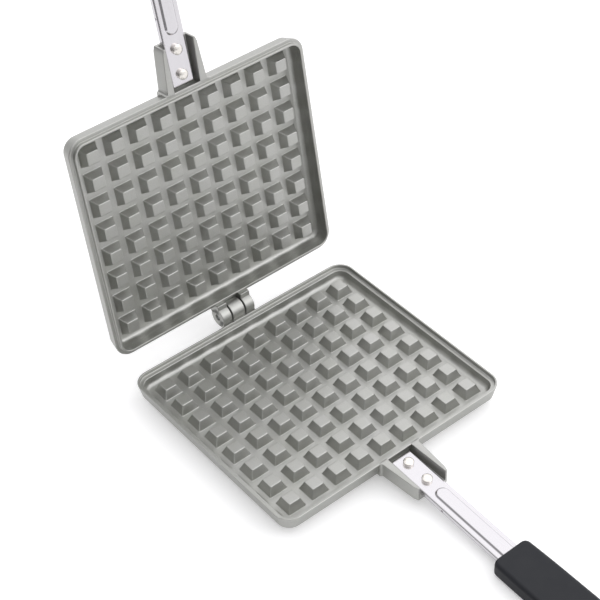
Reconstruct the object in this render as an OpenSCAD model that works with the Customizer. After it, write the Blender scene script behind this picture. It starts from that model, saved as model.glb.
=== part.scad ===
// Stovetop waffle iron: two studded cast plates on a plain pin hinge, shown standing open.
// The lower plate lies on the hob with its handle pointing along -Y. Units are millimetres, Z is up.

/* [Waffle plates] */

// Distance from one stud to the next, both ways
stud_pitch = 16; // [14:0.5:19]
// Studs across the plate, along the hinge
stud_columns = 9; // [5:1:11]
// Studs from the hinge to the handle
stud_rows = 8; // [5:1:10]
// Height of a stud above the tray floor
stud_height = 5.6; // [4:0.1:6.5]
// Width of a stud's flat top
stud_top = 7.4; // [6:0.1:8.4]
// Width of a stud at its foot
stud_foot = 11.8; // [10:0.1:12.6]
// Distance from the outermost stud rows to the plate's outer edge
edge_margin = 15.2; // [14.5:0.1:20]
// Rounding of the plate's corners, seen from above
corner_radius = 10; // [8:0.5:16]
// Height of the heating pad below the shell
pad_height = 3.9; // [3:0.1:5]
// Metal under the tray floor, without the pad
floor_thickness = 3.1; // [2.5:0.1:4.5]
// Depth of the tray, from the lip's top to the floor
tray_depth = 7.5; // [7:0.1:9]

/* [Rims] */

// Width of the lower plate's raised lip
lip_width = 1.3; // [1:0.1:1.6]
// Height of the lip above the ledge inside it
lip_height = 2.4; // [1.5:0.1:2.8]
// Width of the upper plate's raised tongue
tongue_width = 1.3; // [1:0.1:1.6]
// Height of the tongue above the step round it
tongue_height = 3.4; // [2.5:0.1:3.6]
// Distance from the outer edge to the tray wall's top
rim_width = 3.8; // [3.6:0.1:5]

/* [Hinge] */

// How far the upper plate stands open, measured from closed
open_angle = 98.7; // [80:0.1:105]
// Height of the hinge pin's centre above the lip
axis_rise = 2.5; // [2.3:0.1:3.5]
// Distance from the plates' back edges to the pin's centre
axis_setback = 6.2; // [6:0.1:7]
// Outer radius of the knuckles
knuckle_radius = 6.1; // [5.5:0.1:6.1]
// Width of the lower plate's middle knuckle
middle_knuckle = 9.4; // [8:0.2:14]
// Width of each of the upper plate's two knuckles
side_knuckle = 6.4; // [5:0.2:9]
// Side gap between neighbouring knuckles
knuckle_gap = 0.5; // [0.3:0.1:0.8]
// Diameter of the hinge pin
pin_diameter = 4; // [3:0.1:5]
// How far the pin's ends lie inside the outer knuckles
pin_recess = 1; // [0.5:0.1:1.5]
// Radial running clearance between pin and outer knuckles
pin_clearance = 0.05; // [0.02:0.01:0.09]
// Clearance left where a stop meets its wall
stop_clearance = 0.03; // [0.02:0.01:0.05]

/* [Handle bars] */

// Width of the pressed steel bar
bar_width = 14.4; // [13:0.2:16]
// Depth of the bar's turned-down sides
bar_depth = 3.2; // [2.8:0.2:4.6]
// Thickness of the sheet steel
bar_sheet = 1.5; // [1:0.1:1.8]
// Length of bar seen between the plate and the grip
bar_reach = 84; // [75:1:110]
// Height of the bar's top at its plate end
bar_level = 11.4; // [11:0.1:12]
// How far the bar leans away from the other handle
bar_slope = 2.9; // [2:0.1:3.2]
// Width of the long pressed rib on the bar
rib_width = 9; // [7:0.1:9.6]
// Height of the pressed rib
rib_height = 1; // [0.6:0.1:1.2]
// Diameter of the rivets' heads
rivet_head = 6; // [5.5:0.1:7]
// Distance between the two rivets of a bar
rivet_spacing = 14.8; // [14:0.2:16]

/* [Grips] */

// Length of a plastic grip
grip_length = 121; // [105:1:140]
// Width of a grip over most of its length
grip_width = 25.6; // [24:0.2:30]
// Width of a grip at the end near the plate
grip_neck = 23; // [21:0.2:24]
// Top of the grip above the hob
grip_top = 10.3; // [10:0.1:10.6]
// Underside of the grip above the hob
grip_bottom = 0.3; // [0.2:0.1:0.4]

/* [Closing bail] */

// Diameter of the bail's wire
wire_diameter = 2.6; // [2:0.1:2.8]
// Radial running clearance between the wire and its sleeve
wire_clearance = 0.05; // [0.02:0.01:0.09]
// Side gap between the bail and the grips
bail_gap = 0.5; // [0.4:0.1:1]
// Gap between the closed bail and the grip it holds
latch_gap = 0.5; // [0.3:0.1:0.8]

/* [Hidden] */

$fn = 0;
$fa = 4;
$fs = 0.4;

// plates
half_x = (stud_columns - 1) / 2 * stud_pitch + edge_margin;
half_y = (stud_rows - 1) / 2 * stud_pitch + edge_margin;
corner_x = half_x - corner_radius;
corner_y = half_y - corner_radius;
floor_z = pad_height + floor_thickness;
lip_z = floor_z + tray_depth;
ledge_z = lip_z - lip_height;
wall_draft = 1.1;
side_draft = 2.1;
side_chamfer = 2;
chamfer_height = 1.5;
step_width = rim_width - tongue_width;
pad_inset = 10;
pad_corner = 8;
pad_draft = 1;
stud_root = 0.6;

// hinge
axis_y = half_y + axis_setback;
axis_z = lip_z + axis_rise;
knuckle_start = middle_knuckle / 2 + knuckle_gap;
hinge_half = knuckle_start + side_knuckle;
wall_slope = side_draft / (lip_z - pad_height - chamfer_height);
knuckle_root = 1;
heel_gap = 0.4;
heel_start = 3.2;
heel_end = 6.1;

// handle bracket and bar
bracket_length = 26.4;
bracket_root = 13.2;
bracket_end = 11.3;
bracket_nose = 3;
bracket_tip = 10.4;
bracket_bottom = pad_height + 1.2;
bracket_overlap = 5;
pocket_root = 8.5;
pocket_end = 9.2;
bar_y = -half_y - 1;
pocket_y = -half_y + 0.2;
rivet_inset = 6;
rivet_shank = 4;
rivet_dome = 2.4;
tail_height = 1;
floor_seat = bar_depth + 0.9;
land_gap = 0.8;
land_width = bar_width - 2 * bar_sheet - 2 * land_gap;
land_start = 1;
land_length = bracket_length - land_start - 2;
land_root = 0.6;
bend_radius = 1.2;
rib_start = 29;
rib_flank = 1;
side_hole_y = 40.5;
side_hole_depth = 1.9;
side_hole = 1.4;

// grip and its fixings
grip_y = bar_y - bar_reach;
mouth_depth = 5;
bar_end_z = bar_level - bar_reach * tan(bar_slope);
tang_width = 10;
tang_top = bar_end_z - 0.1;
tang_length = 92;
slot_clearance = 0.1;
grip_side = 4.6;
grip_edge = 2.4;
neck_radius = 3;
end_radius = 10;
swell = 30;
nut_size = 5.5;
nut_height = 2.4;
nut_seat = tang_top - bar_sheet;
screw_diameter = 3;
screw_head = 6;
screw_sink = 1.6;
nut_collar = 4.2;
nut_channel = nut_size / cos(30) + 0.3;
recess_length = 3.4;
recess_width = 0.9;
recess_depth = 1;
front_screw = 26;
rear_screw = tang_length - 10;

// bail
pivot_inset = 8;
pivot_y = grip_y - grip_length + pivot_inset;
toe_bottom = 3.5;
toe_reach = 5;
toe_slope = 3.5;
toe_rise = 1.7;
pivot_z = (toe_bottom + grip_top) / 2;
sleeve_diameter = wire_diameter + 2 * wire_clearance + 1.2;
sleeve_length = grip_width - 0.8;
bail_reach = 2 * axis_z - pivot_z - toe_bottom + latch_gap + wire_diameter / 2;
bail_half = grip_width / 2 + bail_gap + wire_diameter / 2;
bail_insert = 7;
bail_bend = 2.2;
rest_drop = pivot_z - grip_bottom + wire_diameter / 2 + 0.05;
bail_rest = asin(rest_drop / bail_reach);

cast_grey = [0.55, 0.55, 0.56];
polished = [0.86, 0.86, 0.88];
plated = [0.74, 0.75, 0.77];
black_plastic = [0.16, 0.17, 0.19];

// Places a copy of the lower half as the upper half, standing open.
module as_upper() {
    translate([0, axis_y, axis_z])
        rotate([-open_angle, 0, 0])
            rotate([0, 180, 0])
                translate([0, -axis_y, -axis_z])
                    children();
}

// Frame of a bar: origin at the middle of its plate end, on its top face.
module on_bar() {
    translate([0, bar_y, bar_level])
        rotate([bar_slope, 0, 0])
            children();
}

// Extrudes an outline drawn in Y and Z by a width along X.
module across(width) {
    rotate([90, 0, 90])
        linear_extrude(height = width, center = true)
            children();
}

// Extrudes an outline drawn in X and Z by a length towards -Y.
module along(length) {
    rotate([90, 0, 0])
        linear_extrude(height = length)
            children();
}

// Rounded rectangle with sloping sides: the corner centres stay, the radius grows from r1 to r2.
module drafted(cx, cy, r1, r2, height) {
    across(2 * cx)
        polygon([[-cy - r1, 0], [cy + r1, 0], [cy + r2, height], [-cy - r2, height]]);
    translate([0, cy, 0])
        along(2 * cy)
            polygon([[-cx - r1, 0], [cx + r1, 0], [cx + r2, height], [-cx - r2, height]]);
    for (x = [-cx, cx], y = [-cy, cy])
        translate([x, y, 0])
            cylinder(h = height, r1 = r1, r2 = r2);
}

// Ridges with sloping sides, count of them side by side; two sets crossed leave the studs.
module ridge_row(count) {
    for (i = [0 : count - 1])
        translate([(i - (count - 1) / 2) * stud_pitch, 0])
            polygon([[-stud_foot / 2, -stud_root], [stud_foot / 2, -stud_root],
                     [stud_foot / 2, 0], [stud_top / 2, stud_height],
                     [-stud_top / 2, stud_height], [-stud_foot / 2, 0]]);
}

module studs() {
    translate([0, 0, floor_z])
        intersection() {
            translate([0, half_y, 0])
                along(2 * half_y)
                    ridge_row(stud_columns);
            across(2 * half_x)
                ridge_row(stud_rows);
        }
}

// Outside of a plate: heating pad, chamfered lower edge and drafted side.
module plate_body() {
    low = corner_radius - side_draft - side_chamfer;
    mid = corner_radius - side_draft;
    shell_z = pad_height + chamfer_height;
    pad_x = half_x - pad_inset - pad_corner;
    pad_y = half_y - pad_inset - pad_corner;
    drafted(pad_x, pad_y, pad_corner - pad_draft, pad_corner, pad_height + 1);
    translate([0, 0, pad_height])
        drafted(corner_x, corner_y, low, mid, chamfer_height);
    translate([0, 0, shell_z])
        drafted(corner_x, corner_y, mid, corner_radius, lip_z - shell_z);
}

// The tray with its sloping wall, up to the given height.
module tray(top) {
    inner = corner_radius - rim_width;
    translate([0, 0, floor_z])
        drafted(corner_x, corner_y, inner - wall_draft, inner, ledge_z - floor_z);
    translate([0, 0, ledge_z - 0.01])
        drafted(corner_x, corner_y, inner, inner, top - ledge_z + 0.01);
}

// Cast channel that takes the bar, open at its outer end.
module bracket() {
    end_y = -half_y - bracket_length;
    translate([0, 0, bracket_bottom])
        linear_extrude(height = lip_z - bracket_bottom)
            polygon([[-bracket_root, bracket_overlap - half_y],
                     [bracket_root, bracket_overlap - half_y],
                     [bracket_end, end_y + bracket_nose], [bracket_tip, end_y],
                     [-bracket_tip, end_y], [-bracket_end, end_y + bracket_nose]]);
}

module bracket_pocket() {
    far = bracket_length + 2;
    wide = pocket_root + (pocket_end - pocket_root) / bracket_length * far;
    on_bar()
        translate([0, 0, -bar_depth])
            linear_extrude(height = lip_z)
                polygon([[-pocket_root, pocket_y - bar_y], [pocket_root, pocket_y - bar_y],
                         [wide, -far], [-wide, -far]]);
}

// Cast land inside the bar, on which the bar is riveted down.
module bracket_land() {
    on_bar()
        translate([-land_width / 2, -land_length - land_start, -bar_depth - land_root])
            cube([land_width, land_length, bar_depth - bar_sheet + land_root]);
}

// Puts its children on the bar's top where the rivet at the given distance goes.
module at_rivet(distance) {
    on_bar()
        translate([0, -distance, 0])
            children();
}

module rivet_holes() {
    for (distance = [rivet_inset, rivet_inset + rivet_spacing])
        at_rivet(distance) {
            translate([0, 0, -floor_seat - 1])
                cylinder(h = floor_seat + 2, d = rivet_shank);
            translate([0, 0, -floor_seat - 4])
                cylinder(h = 4, d = rivet_head + 0.6);
        }
}

// Side view of a knuckle with its arm into the plate's back wall.
module knuckle_profile() {
    root_y = half_y - rim_width + knuckle_root;
    translate([axis_y, axis_z])
        circle(r = knuckle_radius);
    polygon([[root_y, lip_z], [axis_y, lip_z], [axis_y, axis_z - knuckle_radius],
             [root_y, pad_height + chamfer_height + knuckle_root]]);
}

// Side view of the shoulder that comes to rest on the lower plate's lip when the iron is shut.
module shoulder_profile() {
    foot_z = 2 * axis_z - lip_z - stop_clearance;
    polygon([[half_y - step_width, lip_z - knuckle_root], [axis_y, lip_z - knuckle_root],
             [axis_y, foot_z], [half_y - step_width, foot_z]]);
}

// Side view of the heel that meets the lower plate's back wall when the iron stands open.
module heel_profile() {
    near = half_y + heel_gap;
    wall_start = half_y - wall_slope * (heel_start - axis_rise) + stop_clearance;
    wall_end = half_y - wall_slope * (heel_end - axis_rise) + stop_clearance;
    polygon([[axis_y, axis_z], [near, axis_z], [near, axis_z - axis_rise],
             [wall_start, axis_z - heel_start], [wall_end, axis_z - heel_end],
             [axis_y, axis_z - heel_end]]);
}

// Extrudes a side view over the width of both side knuckles.
module at_side_knuckles() {
    for (side = [-1, 1])
        translate([side * (knuckle_start + side_knuckle / 2), 0, 0])
            across(side_knuckle)
                children();
}

module pin_bore(diameter) {
    translate([0, axis_y, axis_z])
        rotate([0, 90, 0])
            cylinder(h = 4 * hinge_half, d = diameter, center = true);
}

// Lower casting: raised lip with a ledge inside it, middle knuckle.
module lower_plate() color(cast_grey) {
    inside_lip = corner_radius - lip_width;
    difference() {
        union() {
            difference() {
                union() {
                    plate_body();
                    bracket();
                    across(middle_knuckle)
                        knuckle_profile();
                }
                tray(lip_z + 1);
                translate([0, 0, ledge_z])
                    drafted(corner_x, corner_y, inside_lip, inside_lip, lip_height + 1);
                bracket_pocket();
            }
            studs();
            bracket_land();
        }
        rivet_holes();
        pin_bore(pin_diameter);
    }
}

// Upper casting: raised tongue with a step round it, two side knuckles that stop the hinge.
module upper_plate() color(cast_grey) {
    tongue_top = lip_z + tongue_height;
    outside_tongue = corner_radius - step_width;
    difference() {
        union() {
            as_upper() {
                difference() {
                    union() {
                        plate_body();
                        bracket();
                        at_side_knuckles()
                            knuckle_profile();
                        at_side_knuckles()
                            shoulder_profile();
                        translate([0, 0, lip_z - 0.5])
                            drafted(corner_x, corner_y, outside_tongue, outside_tongue,
                                    tongue_height + 0.5);
                    }
                    tray(tongue_top + 1);
                    bracket_pocket();
                }
                studs();
                bracket_land();
            }
            at_side_knuckles()
                heel_profile();
        }
        as_upper()
            rivet_holes();
        pin_bore(pin_diameter + 2 * pin_clearance);
    }
}

module hinge_pin() color(plated)
    translate([0, axis_y, axis_z])
        rotate([0, 90, 0])
            cylinder(h = 2 * (hinge_half - pin_recess), d = pin_diameter, center = true);

// Outline of the bar's outside or inside, with rounded upper bends.
module bar_outline(width, depth, bend) {
    translate([-width / 2, -depth])
        square([width, depth - bend]);
    translate([-width / 2 + bend, -bend - 0.01])
        square([width - 2 * bend, bend + 0.01]);
    for (side = [-1, 1])
        translate([side * (width / 2 - bend), -bend])
            circle(r = bend);
}

// Long raised rib with a round end, running out towards the grip.
module pressed_rib(width, length) {
    half = width / 2;
    translate([0, -rib_start - rib_width / 2, 0]) {
        cylinder(h = rib_height, r1 = half, r2 = half - rib_flank);
        along(length)
            polygon([[-half, 0], [half, 0], [half - rib_flank, rib_height],
                     [-half + rib_flank, rib_height]]);
    }
}

// Pressed steel bar with turned-down sides and a flat tang inside the grip.
module bar() color(polished) {
    length = bar_reach + mouth_depth - 1;
    rib_length = length - rib_start - rib_width / 2;
    difference() {
        union() {
            on_bar()
                difference() {
                    union() {
                        along(length)
                            bar_outline(bar_width, bar_depth, bend_radius);
                        translate([0, 0, -0.01])
                            pressed_rib(rib_width, rib_length);
                    }
                    translate([0, 1, -bar_sheet])
                        along(length + 2)
                            bar_outline(bar_width - 2 * bar_sheet, bar_depth, 0.5);
                    translate([0, 0, -bar_sheet - 0.01])
                        pressed_rib(rib_width - 1.2, rib_length + 2);
                    for (distance = [rivet_inset, rivet_inset + rivet_spacing])
                        translate([0, -distance, -bar_sheet - 1])
                            cylinder(h = bar_sheet + 2, d = rivet_shank);
                    translate([0, -side_hole_y, -side_hole_depth])
                        rotate([0, 90, 0])
                            cylinder(h = bar_width + 2, d = side_hole, center = true);
                }
            translate([-tang_width / 2, grip_y - tang_length, tang_top - bar_sheet])
                cube([tang_width, tang_length - 1, bar_sheet]);
        }
        for (distance = [front_screw, rear_screw])
            translate([0, grip_y - distance, tang_top - bar_sheet - 1])
                cylinder(h = bar_sheet + 2, d = nut_collar);
    }
}

// Button-headed rivet, with its tail closed under the bracket.
module rivet(distance) color(polished) {
    dome = rivet_head * 1.1;
    at_rivet(distance) {
        intersection() {
            cylinder(h = rivet_dome, d = rivet_head);
            translate([0, 0, rivet_dome - dome])
                sphere(r = dome);
        }
        translate([0, 0, -floor_seat])
            cylinder(h = floor_seat, d = rivet_shank);
        translate([0, 0, -floor_seat - tail_height])
            cylinder(h = tail_height, d = rivet_head);
    }
}

// What is cut off a square corner at the origin to round it, for a corner towards +X and +Y.
module corner_waste(radius) {
    translate([-radius, -radius])
        difference() {
            square(radius + 1);
            circle(r = radius);
        }
}

// Outline of the grip from above, from its neck at y = 0 to its rounded end.
module grip_plan() {
    half = grip_width / 2;
    difference() {
        polygon([[-grip_neck / 2, 0], [grip_neck / 2, 0], [half, -swell], [half, -grip_length],
                 [-half, -grip_length], [-half, -swell]]);
        for (side = [0, 1])
            mirror([side, 0]) {
                translate([grip_neck / 2, 0])
                    corner_waste(neck_radius);
                translate([half, -grip_length])
                    mirror([0, 1])
                        corner_waste(end_radius);
            }
    }
}

// Cross-section of the grip: full rounding below, smaller rounding above.
module grip_section() {
    half = grip_width / 2;
    difference() {
        translate([-half, grip_bottom])
            square([grip_width, grip_top - grip_bottom]);
        for (side = [0, 1])
            mirror([side, 0]) {
                translate([half, grip_top])
                    corner_waste(grip_edge);
                translate([half, grip_bottom])
                    mirror([0, 1])
                        corner_waste(grip_side);
            }
    }
}

// Room in the grip for the bar's end, the tang and the nuts on it.
module grip_socket() {
    slack = slot_clearance;
    wide = bar_width + 2 * slack;
    rib_wide = rib_width + 2 * slack;
    on_bar()
        translate([0, 1 - bar_reach, 0])
            along(mouth_depth + 1.5) {
                translate([-wide / 2, -bar_depth - slack])
                    square([wide, bar_depth + 2 * slack]);
                translate([-rib_wide / 2, 0])
                    square([rib_wide, rib_height + slack]);
            }
    translate([-tang_width / 2 - slack, grip_y - tang_length - 0.5, nut_seat - slack])
        cube([tang_width + 2 * slack, tang_length, bar_sheet + 2 * slack]);
    translate([-nut_channel / 2, grip_y - rear_screw - nut_channel / 2, nut_seat - nut_height])
        cube([nut_channel, rear_screw, nut_height + 0.1]);
}

// Stepped underside at the grip's end, where the bail takes hold of the other grip.
module grip_toe() {
    end_y = grip_y - grip_length;
    across(grip_width + 2)
        polygon([[pivot_y + toe_reach + toe_slope, grip_bottom - 1],
                 [pivot_y + toe_reach, toe_bottom], [pivot_y, toe_bottom],
                 [end_y - 1, toe_bottom + toe_rise], [end_y - 1, grip_bottom - 1]]);
}

// Plastic grip, the same moulding on both handles.
module grip() color(black_plastic) {
    difference() {
        intersection() {
            translate([0, grip_y, grip_bottom - 1])
                linear_extrude(height = grip_top - grip_bottom + 2)
                    grip_plan();
            translate([0, grip_y + 1, 0])
                along(grip_length + 2)
                    grip_section();
        }
        grip_socket();
        grip_toe();
        for (distance = [front_screw, rear_screw])
            translate([0, grip_y - distance, grip_bottom]) {
                cylinder(h = screw_sink, r1 = screw_head / 2, r2 = screw_diameter / 2);
                cylinder(h = nut_seat - grip_bottom, d = screw_diameter + 0.3);
            }
        translate([0, pivot_y, pivot_z])
            rotate([0, 90, 0])
                cylinder(h = grip_width + 2, d = sleeve_diameter, center = true);
    }
}

// Nut pressed into the tang from below.
module tang_nut(distance) color(plated)
    translate([0, grip_y - distance, nut_seat])
        difference() {
            union() {
                translate([0, 0, -nut_height])
                    cylinder(h = nut_height, r = nut_size / sqrt(3), $fn = 6);
                cylinder(h = bar_sheet, d = nut_collar);
            }
            translate([0, 0, -nut_height - 1])
                cylinder(h = nut_height + bar_sheet + 2, d = screw_diameter);
        }

// Countersunk screw with a cross recess, from below through the grip into a nut.
module grip_screw(distance) color(plated)
    translate([0, grip_y - distance, grip_bottom])
        difference() {
            union() {
                cylinder(h = screw_sink, r1 = screw_head / 2, r2 = screw_diameter / 2);
                cylinder(h = tang_top - grip_bottom, d = screw_diameter);
            }
            for (turn = [0, 90])
                rotate([0, 0, turn])
                    translate([-recess_length / 2, -recess_width / 2, -1])
                        cube([recess_length, recess_width, recess_depth + 1]);
        }

// Steel sleeve across the upper grip, in which the bail's ends turn.
module bail_sleeve() color(plated)
    as_upper()
        translate([0, pivot_y, pivot_z])
            rotate([0, 90, 0])
                difference() {
                    cylinder(h = sleeve_length, d = sleeve_diameter, center = true);
                    cylinder(h = sleeve_length + 2, d = wire_diameter + 2 * wire_clearance,
                             center = true);
                }

// Quarter bend of the bail's wire, from the +X side of its centre to the +Y side.
module bail_corner() {
    rotate_extrude(angle = 90)
        translate([bail_bend, 0])
            circle(d = wire_diameter);
}

// Wire bail, at rest against the outside of the upper grip.
module closing_bail() color(plated) {
    end_length = bail_half - bail_bend - sleeve_length / 2 + bail_insert;
    leg_length = bail_reach - 2 * bail_bend;
    bend_x = bail_half - bail_bend;
    as_upper()
        translate([0, pivot_y, pivot_z])
            rotate([-bail_rest, 0, 0]) {
                for (side = [0, 1])
                    mirror([side, 0, 0]) {
                        translate([bend_x - end_length, 0, 0])
                            rotate([0, 90, 0])
                                cylinder(h = end_length, d = wire_diameter);
                        translate([bend_x, bail_bend, 0])
                            mirror([0, 1, 0])
                                bail_corner();
                        translate([bail_half, bail_bend, 0])
                            rotate([-90, 0, 0])
                                cylinder(h = leg_length, d = wire_diameter);
                        translate([bend_x, bail_reach - bail_bend, 0])
                            bail_corner();
                    }
                translate([0, bail_reach, 0])
                    rotate([0, 90, 0])
                        cylinder(h = 2 * bend_x, d = wire_diameter, center = true);
            }
}

module lower_bar() bar();
module upper_bar() as_upper() bar();
module lower_inner_rivet() rivet(rivet_inset);
module lower_outer_rivet() rivet(rivet_inset + rivet_spacing);
module upper_inner_rivet() as_upper() rivet(rivet_inset);
module upper_outer_rivet() as_upper() rivet(rivet_inset + rivet_spacing);
module lower_grip() grip();
module upper_grip() as_upper() grip();
module lower_front_nut() tang_nut(front_screw);
module lower_rear_nut() tang_nut(rear_screw);
module upper_front_nut() as_upper() tang_nut(front_screw);
module upper_rear_nut() as_upper() tang_nut(rear_screw);
module lower_front_screw() grip_screw(front_screw);
module lower_rear_screw() grip_screw(rear_screw);
module upper_front_screw() as_upper() grip_screw(front_screw);
module upper_rear_screw() as_upper() grip_screw(rear_screw);

lower_plate();
upper_plate();
hinge_pin();
lower_bar();
upper_bar();
lower_inner_rivet();
lower_outer_rivet();
upper_inner_rivet();
upper_outer_rivet();
lower_grip();
upper_grip();
lower_front_nut();
lower_rear_nut();
upper_front_nut();
upper_rear_nut();
lower_front_screw();
lower_rear_screw();
upper_front_screw();
upper_rear_screw();
bail_sleeve();
closing_bail();
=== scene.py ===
import math

import bmesh
import bpy
from mathutils import Matrix, Vector


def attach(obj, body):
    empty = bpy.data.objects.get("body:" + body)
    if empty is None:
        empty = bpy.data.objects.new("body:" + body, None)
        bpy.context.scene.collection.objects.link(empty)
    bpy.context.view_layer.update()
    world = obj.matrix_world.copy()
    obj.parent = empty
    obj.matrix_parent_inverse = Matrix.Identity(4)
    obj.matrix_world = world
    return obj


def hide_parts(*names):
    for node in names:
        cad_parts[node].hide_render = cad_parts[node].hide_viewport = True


# Looks of a stovetop waffle iron standing open. Lengths are millimetres, in the frame of the lower
# half, until a finished piece is placed: then its mesh is in metres, in the frame of the CAD.
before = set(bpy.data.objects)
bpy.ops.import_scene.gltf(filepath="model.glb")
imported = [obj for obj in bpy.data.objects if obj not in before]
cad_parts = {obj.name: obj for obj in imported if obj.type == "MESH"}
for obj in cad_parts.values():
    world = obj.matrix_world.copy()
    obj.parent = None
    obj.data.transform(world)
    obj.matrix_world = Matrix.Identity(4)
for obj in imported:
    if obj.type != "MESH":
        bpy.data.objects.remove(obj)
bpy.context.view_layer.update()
scene = bpy.context.scene
scene.view_settings.view_transform = "Standard"

# Sizes of the plates. The solids have a taller tongue, and no cove along the foot of the tray's wall.
STUD_PITCH = 16.0
STUD_COLUMNS = 9
STUD_ROWS = 8
STUD_HEIGHT = 5.6
STUD_TOP = 7.4
STUD_FOOT = 11.8
EDGE_MARGIN = 15.2
CORNER_RADIUS = 10.0
PAD_HEIGHT = 3.9
PAD_INSET = 10.0
PAD_CORNER = 8.0
FLOOR_THICKNESS = 3.1
TRAY_DEPTH = 7.5
RIM_WIDTH = 3.8
WALL_DRAFT = 1.1
COVE_RADIUS = 3.0
SIDE_DRAFT = 2.1
SIDE_CHAMFER = 2.0
CHAMFER_HEIGHT = 1.5
LIP_WIDTH = 1.3
LIP_HEIGHT = 2.4
TONGUE_WIDTH = 1.3
TONGUE_HEIGHT = 2.3

HALF_X = (STUD_COLUMNS - 1) / 2 * STUD_PITCH + EDGE_MARGIN
HALF_Y = (STUD_ROWS - 1) / 2 * STUD_PITCH + EDGE_MARGIN
FLOOR_Z = PAD_HEIGHT + FLOOR_THICKNESS
LIP_Z = FLOOR_Z + TRAY_DEPTH
LEDGE_Z = LIP_Z - LIP_HEIGHT
STEP_WIDTH = RIM_WIDTH - TONGUE_WIDTH
WALL_SLOPE = SIDE_DRAFT / (LIP_Z - PAD_HEIGHT - CHAMFER_HEIGHT)

# Sizes of the hinge
OPEN_ANGLE = 98.7
AXIS_Y = HALF_Y + 6.2
AXIS_Z = LIP_Z + 2.5
KNUCKLE_RADIUS = 6.1
MIDDLE_KNUCKLE = 8.8
SIDE_KNUCKLE = 6.4
KNUCKLE_GAP = 0.8
BORE_RADIUS = 2.05
BORE_WALL = 0.4
HEEL_START = 3.2
HEEL_END = 6.1

# Sizes of the bars and the channels that they are riveted into
BRACKET_LENGTH = 26.4
BRACKET_ROOT = 13.2
BRACKET_END = 11.3
BRACKET_NOSE = 3.0
BRACKET_TIP = 10.4
BRACKET_BOTTOM = PAD_HEIGHT + 1.2
ROOT_FILLET = 1.3
POCKET_ROOT = 8.5
POCKET_END = 9.2
BAR_WIDTH = 14.4
BAR_DEPTH = 3.2
BAR_SHEET = 1.5
BAR_REACH = 84.0
BAR_LEVEL = 11.4
BAR_SLOPE = 2.9
BAR_GAP = 1.0
BAR_Y = -HALF_Y - BAR_GAP
BEND_RADIUS = 1.2
MOUTH_DEPTH = 5.0
RIB_WIDTH = 9.0
RIB_HEIGHT = 1.1
RIB_FLANK = 1.4
RIB_START = 29.0
SIDE_HOLE_Y = 40.5
SIDE_HOLE_DEPTH = 1.9
SIDE_HOLE = 1.4
RIVET_HEAD = 6.0
RIVET_DOME = 2.4
RIVET_SHANK = 4.0
RIVET_INSET = 6.0
RIVET_SPACING = 14.8
FLOOR_SEAT = BAR_DEPTH + 0.9
TAIL_HEIGHT = 1.0

# Sizes of the grips and the closing bail
GRIP_LENGTH = 121.0
GRIP_WIDTH = 25.6
GRIP_NECK = 24.6
GRIP_TOP = 10.3
GRIP_BOTTOM = 0.3
GRIP_SIDE = 2.8
GRIP_EDGE = 2.4
NECK_RADIUS = 3.0
NECK_EDGE = 0.9
END_RADIUS = 10.0
END_DROP = 3.0
TOP_SHARE = 0.8
BOTTOM_SHARE = 0.6
LEAST_RADIUS = 0.3
SWELL = 30.0
GRIP_Y = BAR_Y - BAR_REACH
GRIP_FRONT = GRIP_Y + 0.8
GRIP_END = GRIP_Y - GRIP_LENGTH
TANG_WIDTH = 10.0
TANG_LENGTH = 92.0
TANG_TOP = BAR_LEVEL - BAR_REACH * math.tan(math.radians(BAR_SLOPE)) - 0.1
SCREW_PLACES = (26.0, TANG_LENGTH - 10)
SCREW_DIAMETER = 3.0
SCREW_HEAD = 6.0
SCREW_SINK = 1.6
WIRE_DIAMETER = 2.6
SLEEVE_DIAMETER = 3.9
SLEEVE_LENGTH = GRIP_WIDTH - 0.8
PIVOT_Y = GRIP_END + 8
TOE_BOTTOM = 3.5
TOE_REACH = 5.0
TOE_SLOPE = 3.5
TOE_RISE = 1.7
TOE_SIDE = 1.6
PIVOT_Z = (TOE_BOTTOM + GRIP_TOP) / 2
BAIL_REACH = 2 * AXIS_Z - PIVOT_Z - TOE_BOTTOM + 0.5 + WIRE_DIAMETER / 2
BAIL_HALF = GRIP_WIDTH / 2 + 0.5 + WIRE_DIAMETER / 2
BAIL_REST = math.asin((PIVOT_Z - GRIP_BOTTOM + WIRE_DIAMETER / 2 + 0.05) / BAIL_REACH)
BAIL_INSERT = 7.0
BAIL_BEND = 2.2

METRE = 1000.0

# The white table in metres: two edges on the camera's side, the far ones, and how far down it lies
TABLE_EDGES = (-0.36, -1.6, 2.0)
TABLE_DROP = 0.0002

# The studio's large light: the direction of its middle, the cosines of its edge and core, its level
# there and the level of the room round it
LIGHT_FROM = (0.62, 0.05, 0.72)
LIGHT_EDGE = -0.45
LIGHT_CORE = 0.8
LIGHT_LEVEL = 1.4
ROOM_LEVEL = 0.25

# A softbox high in front, on the right: its direction, the cosines of its edge and core, its level
SOFTBOX_FROM = (0.462, -0.669, 0.582)
SOFTBOX_EDGE = 0.92
SOFTBOX_CORE = 0.985
SOFTBOX_LEVEL = 1.0

# How much the table's own white is lifted for the camera, and for what the metal mirrors
FLOOR_LIFT = 0.32
FLOOR_MIRRORED = 0.15

# The change to metres, the places of the halves and their bars, and the turn that lays a round
# piece across the handle
to_metres = Matrix.Scale(1 / METRE, 4)
axis_place = Matrix.Translation((0, AXIS_Y, AXIS_Z))
opened = (axis_place @ Matrix.Rotation(math.radians(-OPEN_ANGLE), 4, "X")
          @ Matrix.Rotation(math.pi, 4, "Y") @ axis_place.inverted())
on_bar = Matrix.Translation((0, BAR_Y, BAR_LEVEL)) @ Matrix.Rotation(math.radians(BAR_SLOPE), 4, "X")
lying_across = Matrix.Rotation(math.pi / 2, 4, "Y")
HALVES = {"lower": Matrix.Identity(4), "upper": opened}


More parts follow.
